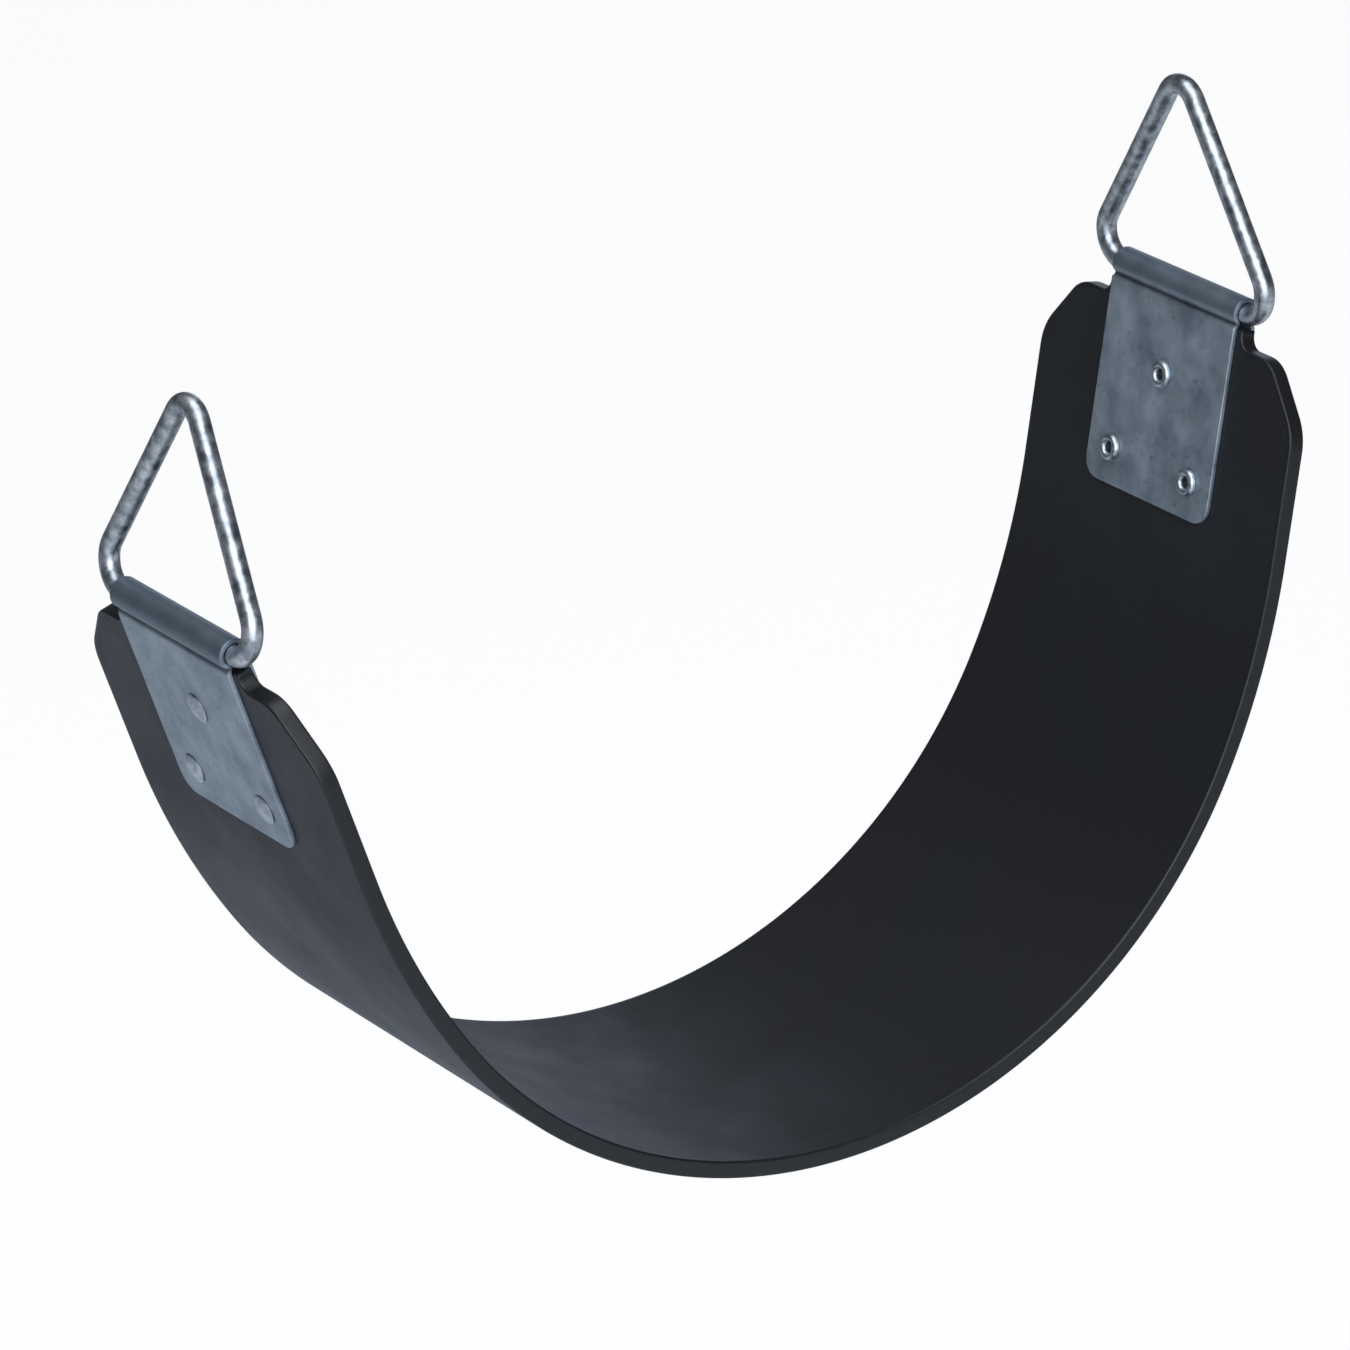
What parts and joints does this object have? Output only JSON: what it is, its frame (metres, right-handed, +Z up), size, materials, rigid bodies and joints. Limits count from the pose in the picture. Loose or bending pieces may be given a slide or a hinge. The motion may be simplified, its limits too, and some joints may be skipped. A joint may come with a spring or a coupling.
{
  "type": "belt swing seat",
  "caption": "Flexible rubber belt seat hanging in a U, with a riveted steel strap and a triangular hanging ring hinged at each end.",
  "frame": {"origin": "lowest point of the belt's underside, in the middle of the seat", "axes": "+X from the left ring to the right ring, +Y from the belt's front edge to its back edge, +Z up"},
  "size_m": [0.4053, 0.14, 0.3031],
  "materials": {
    "belt_rubber": "moulded black rubber, satin with a faint bloom",
    "ply_cloth": "woven polyester ply, moulded in and unseen",
    "ring_steel": "bright zinc plated round bar",
    "strap_steel": "hot-dip galvanised sheet, dull and mottled",
    "rivet_steel": "zinc plated steel rivet"
  },
  "bodies": {
    "seat": {"belt": "belt_rubber", "ply": "ply_cloth", "left_strap": "strap_steel", "right_strap": "strap_steel", "left_upper_rivet": "rivet_steel", "left_front_rivet": "rivet_steel", "left_back_rivet": "rivet_steel", "right_upper_rivet": "rivet_steel", "right_front_rivet": "rivet_steel", "right_back_rivet": "rivet_steel"},
    "left_ring": {"left_ring": "ring_steel"},
    "right_ring": {"right_ring": "ring_steel"}
  },
  "joints": [
    {"name": "left_ring_hinge", "type": "hinge", "parent": "seat", "child": "left_ring", "pos_m": [-0.19637, 0, 0.22819], "axis": [0, 1, 0], "range_deg": [-152, 112]},
    {"name": "right_ring_hinge", "type": "hinge", "parent": "seat", "child": "right_ring", "pos_m": [0.19637, 0, 0.22819], "axis": [0, 1, 0], "range_deg": [-122, 148]}
  ]
}
